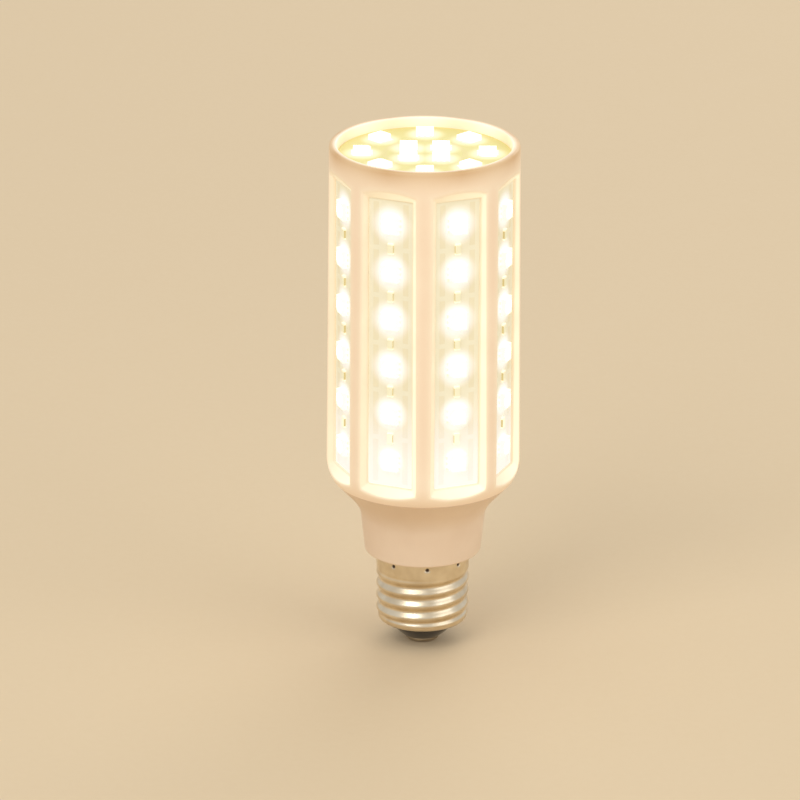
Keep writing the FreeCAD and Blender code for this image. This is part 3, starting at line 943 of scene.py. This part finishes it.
    def light_and_shade_map(self, points: Array, window: Array) -> Array:
        """Painted light and shade on the skin.

        Args:
            points: rows by columns by 3.
            window: light on the windows' walls, one number for each point.

        Returns:
            Points by 3: the windows' painted light; the rim's painted light, in the bore a cosine that peaks
            beside each LED of the ring and outside it a bell about one distance from the LED; and the lip's
            painted shade, fading down the wall.
        """
        x, y, z = points.reshape(-1, 3).T
        radius, turn = np.hypot(x, y), np.arctan2(y, x)
        step = 2 * np.pi / self.sides
        off = turn - np.round(turn / step) * step
        aside = np.hypot(radius * np.cos(off) - self.led_ring, radius * np.sin(off))
        below = np.clip((self.rim_level - z) / self.lip_reach, 0, 1)
        spread = np.exp(-(((aside - self.led_glow) / self.led_spread) ** 2))
        outer = self.rim_share * spread * (1 - below) ** 2
        mean, swing, loss = self.bore_light
        inner = mean + swing * np.cos(off * self.sides) - loss * below
        bore = (radius < self.rim_bore + self.bore_gap) & (z > self.ledge_level - self.bore_gap)
        # Painted shade on the lip, fading down the rim's outer wall.
        past = np.clip((radius - self.rim_bore - self.bore_gap) / self.lip_shade_fade, 0, 1)
        lip = past * (1 - below) ** self.lip_shade_power
        return np.stack([window, np.where(bore, inner, outer), lip], axis=-1)

    def build(self) -> None:
        """Make the cage and give its skin a wall."""
        skin, light = self.surface()
        notes = {"light_and_shade_map": light}
        piece = make_piece("cage_shell", skin, [self.finishes.cage], ["cage"], 50.0, notes)
        solid = piece.modifiers.new("wall", "SOLIDIFY")
        solid.thickness = self.wall * MM
        solid.offset = -1


@dataclass
class Base:
    """Collar and bowl below the cage."""

    finishes: Finishes
    foot_level: float = 27.3
    foot_radius: float = 16.4
    foot_round: float = 0.7
    top_level: float = 41.0
    top_radius: float = 17.8
    throat: float = 5.0
    throat_share: float = 0.6
    rim_level: float = 49.1
    rim_radius: float = 25.15
    rim_round: float = 0.25
    inside: Outline = (
        (21.9, 49.1), (21.9, 52.0), (20.2, 52.0), (20.2, 49.1), (17.0, 44.6), (14.5, 44.6), (14.5, 29.2)
    )
    spigot: Outline = ((10.8, 29.2), (10.8, 22.8), (12.4, 22.8), (12.6, 23.0), (12.6, 27.3))
    segments: int = 144

    def outline(self) -> Array:
        """Radius and level round the wall's section, outside first.

        Returns:
            Rounded foot, tapering collar, a throat curve and the bowl: the throat is a parabola between
            the collar's and the bowl's lines. Then the bowl's lip, the inside and the spigot in the cap.
        """
        centre = (self.foot_radius - self.foot_round, self.foot_level + self.foot_round)
        foot = arc(centre, self.foot_round, -90, 0, 7)
        corner = np.array([self.top_radius, self.top_level])
        rim = np.array([self.rim_radius, self.rim_level - self.rim_round])
        down = foot[-1] - corner
        start = corner + down / np.linalg.norm(down) * self.throat * self.throat_share
        stop = corner + (rim - corner) / np.linalg.norm(rim - corner) * self.throat
        share = np.linspace(0, 1, 12)[:, None]
        curve = (1 - share) ** 2 * start + 2 * share * (1 - share) * corner + share**2 * stop
        collar = foot[-1] + (start - foot[-1]) * np.linspace(0.25, 0.9, 4)[:, None]
        bowl = stop + (rim - stop) * np.linspace(0.2, 0.97, 5)[:, None]
        lip = arc((rim[0] - self.rim_round, rim[1]), self.rim_round, -10, 90, 5)
        return np.concatenate([foot, collar, curve, bowl, lip, self.inside, self.spigot])

    def build(self) -> None:
        """Make the base."""
        surface = lathe(self.outline(), self.segments)
        make_piece("collar_and_bowl", surface, [self.finishes.base], ["base"])


@dataclass
class ScrewCap:
    """E27 cap: rolled shell with its thread and punch marks, black glass and contact button."""

    finishes: Finishes
    pitch: float = 3.629
    crest: float = 13.08
    groove: float = 0.92
    thread_turn: float = -46.6
    thread_foot: float = 8.2
    thread_top: float = 21.6
    thread_fade: float = 1.8
    thread_rows: tuple[float, float, int] = (7.4, 22.6, 92)
    band_rows: tuple[float, float, int] = (22.8, 26.7, 26)
    neck_level: float = 9.2
    neck_depth: float = 0.55
    neck_power: float = 1.5
    lip_level: float = 6.2
    lip_radius: float = 10.05
    roll: float = 1.1
    inside: Outline = (
        (13.03, 26.88), (12.92, 27.0), (12.74, 27.0), (11.7, 22.0), (11.7, 8.0), (11.2, 6.6), (10.05, 6.55)
    )
    punches: int = 8
    punch_level: float = 25.3
    punch_turn: float = -84.0
    punch_radius: float = 0.75
    punch_depth: float = 0.5
    punch_power: float = 0.7
    glass_radii: tuple[float, float] = (5.6, 9.95)
    glass_levels: tuple[float, float] = (1.5, 6.2)
    glass_swell: float = 0.35
    glass_inside: Outline = ((9.95, 6.6), (11.1, 6.62), (11.1, 8.9), (1.7, 8.9), (1.7, 1.5))
    button_face: Outline = ((0.0, 0.0), (1.6, 0.0), (3.0, 0.0))
    button_edge: tuple[float, float] = (3.9, 0.9)
    button_rim: Outline = ((4.8, 1.2), (4.7, 1.45), (4.5, 1.5), (1.6, 1.5), (1.6, 4.9), (0.0, 4.9))
    segments: int = 192
    glass_segments: int = 96
    button_segments: int = 72

    def shell_surface(self) -> tuple[Surface, Array]:
        """The shell's skin, closed through its bore, and its punch map.

        Returns:
            A grid of levels by turns. The radius is the crest less half the groove depth times one minus the
            cosine of level over pitch less the turn, faded out at the thread's ends, less a round dent at
            each punch mark; below, a rolled edge leads in to the glass. The punch map holds the dents.
        """
        level = np.concatenate([np.linspace(*self.thread_rows), np.linspace(*self.band_rows)])[:, None]
        turn = np.linspace(0, 2 * np.pi, self.segments, endpoint=False)[None, :]
        wave = 0.5 - 0.5 * np.cos(2 * np.pi * level / self.pitch - turn + math.radians(self.thread_turn))
        rise = np.clip((level - self.thread_foot) / self.thread_fade + 0.5, 0, 1)
        fall = np.clip((self.thread_top - level) / self.thread_fade + 0.5, 0, 1)
        ends = rise**2 * (3 - 2 * rise) * fall**2 * (3 - 2 * fall)
        under = np.clip((self.neck_level - level) / self.thread_fade, 0, 1)
        neck = self.neck_depth * under**self.neck_power
        step = 2 * np.pi / self.punches
        off = turn - math.radians(self.punch_turn)
        side = (off - np.round(off / step) * step) * self.crest
        dent = np.clip(1 - np.hypot(side, level - self.punch_level) / self.punch_radius, 0, 1)
        dents = self.punch_depth * dent**self.punch_power
        radius = self.crest - self.groove * wave * ends - neck - dents
        wall = turned(radius, level, turn)
        centre = (self.crest - self.neck_depth - self.roll, self.lip_level + self.roll)
        lip = np.concatenate([[(self.lip_radius, self.lip_level)], arc(centre, self.roll, -90, -4, 8)])
        below = turned(*lip.T[..., None], turn)
        above = turned(*np.array(self.inside).T[..., None], turn)
        points = np.concatenate([below, wall, above])
        punch = np.zeros(points.shape)
        punch[len(below) : len(below) + len(wall), :, 0] = dent
        return Surface.grid(points, wrap_rows=True, wrap_columns=True), punch

    def glass_outline(self) -> Array:
        """Section of the black glass.

        Returns:
            A cone that swells by a sine between its ends, and its flange inside the shell.
        """
        share = np.linspace(0, 1, 12)
        (low, high), (foot, head) = self.glass_radii, self.glass_levels
        radius = low + (high - low) * share + self.glass_swell * np.sin(np.pi * share)
        cone = np.stack([radius, foot + (head - foot) * share], axis=-1)
        return np.concatenate([cone, self.glass_inside])

    def button_outline(self) -> Array:
        """Section of the contact button: flat face, rounded edge, rolled rim and stem, from axis to axis."""
        edge = arc(self.button_edge, self.button_edge[1], -90, 0, 8)
        return np.concatenate([self.button_face, edge, self.button_rim])

    def build(self) -> None:
        """Make the three pieces of the cap."""
        shell, punch = self.shell_surface()
        notes = {"punch_map": punch}
        make_piece("threaded_shell", shell, [self.finishes.shell], ["screw_shell"], 60.0, notes)
        glass = lathe(self.glass_outline(), self.glass_segments)
        make_piece("cap_glass", glass, [self.finishes.glass], ["cap_insulator"])
        button = lathe(self.button_outline(), self.button_segments, closed=False)
        make_piece("contact_button", button, [self.finishes.contact], ["centre_contact"])


@dataclass
class LedPackage:
    """A square LED package: notched white body with a round cup, side leads and a lit gel."""

    half: float = 2.5
    height: float = 1.6
    notch: float = 0.9
    draft: float = 0.05
    edge: float = 0.08
    cup_radius: float = 2.05
    cup_depth: float = 0.2
    gel_radius: float = 1.9
    gel_level: float = 1.42
    gel_rise: float = 0.14
    gel_depth: float = 0.12
    gel_loops: tuple[float, ...] = (1.0, 0.85, 0.6, 0.3, 0.0)
    lead_rows: tuple[float, ...] = (-1.6, 0.0, 1.6)
    lead_place: float = 2.7
    lead_half: tuple[float, float] = (0.35, 0.42)
    lead_height: float = 0.42
    lead_edge: float = 0.12
    segments: int = 48

    def rays(self) -> Array:
        """Angles of the rays on which the points lie, a corner's first."""
        return np.linspace(0, 2 * np.pi, self.segments, endpoint=False) + np.pi / 4

    def square(self, half: float) -> Array:
        """The body's outline.

        Args:
            half: half its width.

        Returns:
            Points by 2 on rays from the middle: each ray ends at the nearest of the four sides and the notch.
        """
        turn = self.rays()
        normals = np.radians([0, 90, 180, 270, 225])
        notch = (2 * self.half - self.notch) / math.sqrt(2) - (self.half - half)
        distances = np.array([half] * 4 + [notch])
        facing = np.maximum(np.cos(turn[:, None] - normals), 1e-6)
        return polar((distances / facing).min(axis=1), turn)

    def circle(self, radius: float) -> Array:
        """Points by 2 of a circle on the same rays."""
        return polar(radius, self.rays())

    @staticmethod
    def stacked(loops: list[Array], levels: list[float]) -> Array:
        """Loops of points by 2 set at levels, as rows of points by 3."""
        heights = np.broadcast_to(np.array(levels)[:, None, None], (len(loops), len(loops[0]), 1))
        return np.concatenate([np.stack(loops), heights], axis=-1)

    def body_surface(self) -> Surface:
        """Body and leads.

        Returns:
            Loops from the foot up the sides, over the top, into the cup and down under the gel; the leads are
            chamfered blocks beside it.
        """
        floor = self.gel_level - self.cup_depth
        loops = [
            self.circle(0.0),
            self.square(self.half),
            self.square(self.half - self.draft),
            self.square(self.half - self.draft - self.edge),
            self.circle(self.cup_radius),
            self.circle(self.gel_radius - self.draft),
            self.circle(0.0),
        ]
        levels = [0.0, 0.0, self.height - self.edge, self.height, self.height, floor, floor]
        body = Surface.grid(self.stacked(loops, levels), wrap_columns=True)
        wide, tall = self.lead_half
        leads = [
            block((x - wide, y - tall, 0.0), (x + wide, y + tall, self.lead_height), self.lead_edge, 1)
            for x in (-self.lead_place, self.lead_place)
            for y in self.lead_rows
        ]
        return Surface.joined([body, *leads])

    def gel_surface(self) -> Surface:
        """The gel.

        Returns:
            A shallow cone below and a low dome above, the rise times one minus the squared share of radius.
        """
        share = np.array(self.gel_loops)
        loops = [self.circle(0.0)] + [self.circle(self.gel_radius * part) for part in share]
        levels = [self.gel_level - self.gel_depth] + list(self.gel_level + self.gel_rise * (1 - share**2))
        return Surface.grid(self.stacked(loops, levels), wrap_columns=True)


@dataclass
class Chip:
    """A chip resistor: ceramic body between two tinned ends, lying along the strip."""

    length: float = 3.2
    width: float = 1.6
    height: float = 0.6
    end: float = 0.5
    end_rise: float = 0.03
    end_edge: float = 0.08
    body_inset: tuple[float, float] = (0.04, 0.2)
    body_edge: float = 0.06

    def surface(self) -> Surface:
        """The body and its two ends.

        Returns:
            Three chamfered blocks: the body in finish 0 with its sides in 2, which holds their painted shade,
                the ends in 1.
        """
        half, side = self.length / 2, self.width / 2
        x, y = side - self.body_inset[0], half - self.body_inset[1]
        body = block((-x, -y, 0.0), (x, y, self.height), self.body_edge, 0, 2)
        top = self.height + self.end_rise
        ends = [
            block((-side, low, 0.0), (side, low + self.end, top), self.end_edge, 1)
            for low in (-half, half - self.end)
        ]
        return Surface.joined([body, *ends])


@dataclass
class Strips:
    """Eight LED strips behind the cage's windows."""

    finishes: Finishes
    row: LedRow
    led: LedPackage
    chip: Chip
    count: int = 8
    face: float = 23.8
    half_width: float = 8.1
    foot: float = 52.2
    head: float = 142.6
    thickness: float = 1.6
    edge: float = 0.08

    def build_board(self, number: int, angle: float) -> None:
        """Make one board: a box upright in the strip's frame, with each point's across and up for its mask.

        Args:
            number: the strip's number.
            angle: its angle about the axis in degrees.
        """
        tall, level = (self.head - self.foot) / 2, (self.head + self.foot) / 2
        box = block((-self.half_width, -tall, -self.thickness), (self.half_width, tall, 0.0), self.edge)
        board = box.placed(strip_frames(angle, self.face, np.array([level])))
        notes = {"strip_place": box.points * (1, 1, 0) + (0, level, 0)}
        name, node = f"strip_mask_{number}", f"strip_board_{number}"
        make_piece(name, board, [self.finishes.strip_mask], [node], notes=notes)

    def build(self) -> None:
        """Make each strip's board, LEDs, gels and chips."""
        on, between = self.row.levels(), self.row.levels()[:-1] + self.row.pitch / 2
        led_finishes = [self.finishes.led_body, self.finishes.tin]
        chip_finishes = [self.finishes.chip, self.finishes.tin, self.finishes.chip_side]
        kinds = (
            ("bodies", self.led.body_surface(), on, led_finishes, "packages", "led_body"),
            ("gels", self.led.gel_surface(), on, [self.finishes.gel], "phosphors", "phosphor"),
            ("chips", self.chip.surface(), between, chip_finishes, "resistors", "chip"),
        )
        for number in range(1, self.count + 1):
            angle = (2 * number - 1) * 180 / self.count
            self.build_board(number, angle)
            for kind, shape, levels, materials, node, slot in kinds:
                copies = shape.placed(strip_frames(angle, self.face, levels))
                make_piece(f"strip_{kind}_{number}", copies, materials, [f"strip_{node}_{number}"])


@dataclass
class TopBoard:
    """Round LED board recessed in the rim."""

    finishes: Finishes
    led: LedPackage
    radius: float = 24.2
    foot: float = 142.7
    face: float = 144.3
    edge: float = 0.1
    ring: float = 17.4
    ring_count: int = 8
    inner: float = 4.5
    rings: int = 12
    segments: int = 120

    def frames(self) -> Array:
        """Frames of the LEDs.

        Returns:
            Frames by 4 by 3: a ring that faces outwards, and four more squarely within it.
        """
        turns = np.arange(self.ring_count) * 360 / self.ring_count
        corners = self.inner * np.array([(1, 1), (-1, 1), (-1, -1), (1, -1)])
        spots = np.concatenate([polar(self.ring, np.radians(turns)), corners])
        origins = np.column_stack([spots, np.full(len(spots), self.face)])
        angles = np.concatenate([turns, np.arange(4) * 90.0])
        return np.stack([*directions(angles), origins], axis=1)

    def build(self) -> None:
        """Make the board, its LEDs and their gels."""
        flat = self.radius - self.edge
        below = [(0.0, self.foot), (flat, self.foot)]
        rim = [(self.radius, self.foot + self.edge), (self.radius, self.face - self.edge)]
        face = np.stack([np.linspace(0, flat, self.rings)[::-1], np.full(self.rings, self.face)], axis=-1)
        disc = lathe(np.concatenate([below, rim, face]), self.segments, closed=False)
        make_piece("top_disc", disc, [self.finishes.disc_mask], ["top_board"])
        shapes = (self.led.body_surface(), self.led.gel_surface())
        bodies, gels = (shape.placed(self.frames()) for shape in shapes)
        led_finishes = [self.finishes.led_body, self.finishes.tin]
        make_piece("top_bodies", bodies, led_finishes, ["top_packages"])
        make_piece("top_gels", gels, [self.finishes.gel], ["top_phosphors"])


class InnerFinish(Enum):
    """Finishes of the CAD nodes that keep their own shape inside the bulb, each with its nodes."""

    LAMINATE = ("driver_board",)
    FILM = ("film_capacitor",)
    SLEEVE = ("smoothing_capacitor",)
    FUSE = ("bridge_rectifier", "micro_fuse", "bleed_resistor")
    RED_WIRE = ("live_lead", "feed_lead")
    BLACK_WIRE = ("neutral_lead", "return_lead")
    WIRE = ("link_wires",)


def dress_inner_parts(finishes: Finishes) -> None:
    """Give the CAD nodes that stay their finishes.

    Args:
        finishes: the bulb's finishes.
    """
    for finish in InnerFinish:
        for node in finish.value:
            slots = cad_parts[node].data.materials
            slots.clear()
            slots.append(getattr(finishes, finish.name.lower()))
            LOG.info("%s: %s", node, finish.name.lower())


@dataclass
class Studio:
    """Pale floor, soft lamps and the camera."""

    finishes: Finishes
    aim_level: float = 90.9
    distance: float = 1700.0
    elevation: float = 19.73
    roll: float = 0.31
    pixels_per_mm: float = 3.579
    aim_pixel: tuple[float, float] = (423.8, 335.4)
    sensor: float = 36.0
    clip: tuple[float, float] = (0.05, 50.0)
    floor_reach: float = 5.0
    floor_drop: float = 0.0002
    sky: float = 0.66
    lamps: tuple[tuple[str, Spot, float, float], ...] = (
        ("key", (-0.9, -1.3, 1.5), 1.2, 13.0),
        ("fill", (1.4, -0.9, 0.9), 1.4, 7.0),
        ("back", (0.5, 1.6, 1.2), 1.4, 9.0),
    )

    def add_floor(self) -> None:
        """A wide plain floor under the bulb, out of the part."""
        mesh = bpy.data.meshes.new("floor")
        corners = np.array([(-1, -1, 0), (1, -1, 0), (1, 1, 0), (-1, 1, 0)]) * self.floor_reach
        mesh.from_pydata((corners - (0, 0, self.floor_drop)).tolist(), [], [(0, 1, 2, 3)])
        mesh.materials.append(self.finishes.floor)
        floor = bpy.data.objects.new("floor", mesh)
        bpy.context.scene.collection.objects.link(floor)

    def add_light(self) -> None:
        """Even sky light and square soft lamps that face the bulb, each with its spot, width and power."""
        world = bpy.data.worlds.new("studio")
        world.use_nodes = True
        background = world.node_tree.nodes["Background"]
        background.inputs["Color"].default_value = (1, 1, 1, 1)
        background.inputs["Strength"].default_value = self.sky
        bpy.context.scene.world = world
        for name, spot, size, power in self.lamps:
            data = bpy.data.lights.new(name, "AREA")
            data.size = size
            data.energy = power
            lamp = bpy.data.objects.new(name, data)
            lamp.location = spot
            aim = Vector((0, 0, self.aim_level * MM)) - Vector(spot)
            lamp.rotation_euler = aim.to_track_quat("-Z", "Y").to_euler()
            bpy.context.scene.collection.objects.link(lamp)

    def add_camera(self) -> None:
        """A long lens that puts the aim point at its pixel of the picture."""
        slope, tilt = math.radians(self.elevation), math.radians(self.roll)
        right = Vector((1, 0, 0))
        ahead = Vector((0, math.cos(slope), -math.sin(slope)))
        up = right.cross(ahead)
        rolled_right = right * math.cos(tilt) + up * math.sin(tilt)
        rolled_up = up * math.cos(tilt) - right * math.sin(tilt)
        focal = self.pixels_per_mm * self.distance
        aside, under = (IMAGE_SIZE / 2 - pixel for pixel in self.aim_pixel)
        view = ahead * focal + rolled_right * aside - rolled_up * under
        back = -view.normalized()
        beside = rolled_up.cross(back).normalized()
        above = back.cross(beside)
        data = bpy.data.cameras.new("camera")
        data.sensor_width = self.sensor
        data.lens = self.sensor * focal / IMAGE_SIZE
        data.clip_start, data.clip_end = self.clip
        camera = bpy.data.objects.new("camera", data)
        spot = Vector((0, 0, self.aim_level)) - ahead * self.distance
        turn = Matrix((beside, above, back)).transposed().to_4x4()
        camera.matrix_world = Matrix.Translation(spot * MM) @ turn
        bpy.context.scene.collection.objects.link(camera)
        bpy.context.scene.camera = camera

    def build(self) -> None:
        """Set up floor, light, camera and the plain view."""
        self.add_floor()
        self.add_light()
        self.add_camera()
        bpy.context.scene.view_settings.view_transform = "Standard"


def main() -> None:
    """Build the bulb's pieces in order, then the studio."""
    logging.basicConfig(level=logging.INFO, format="%(message)s")
    row = LedRow(first=61.5, pitch=13.88, count=6)
    finishes = Finishes(row, TopBoard.ring, TopBoard.inner)
    led = LedPackage()
    Cage(finishes, row).build()
    Base(finishes).build()
    ScrewCap(finishes).build()
    Strips(finishes, row, led, Chip()).build()
    TopBoard(finishes, led).build()
    dress_inner_parts(finishes)
    Studio(finishes).build()


if __name__ == "__main__":
    main()
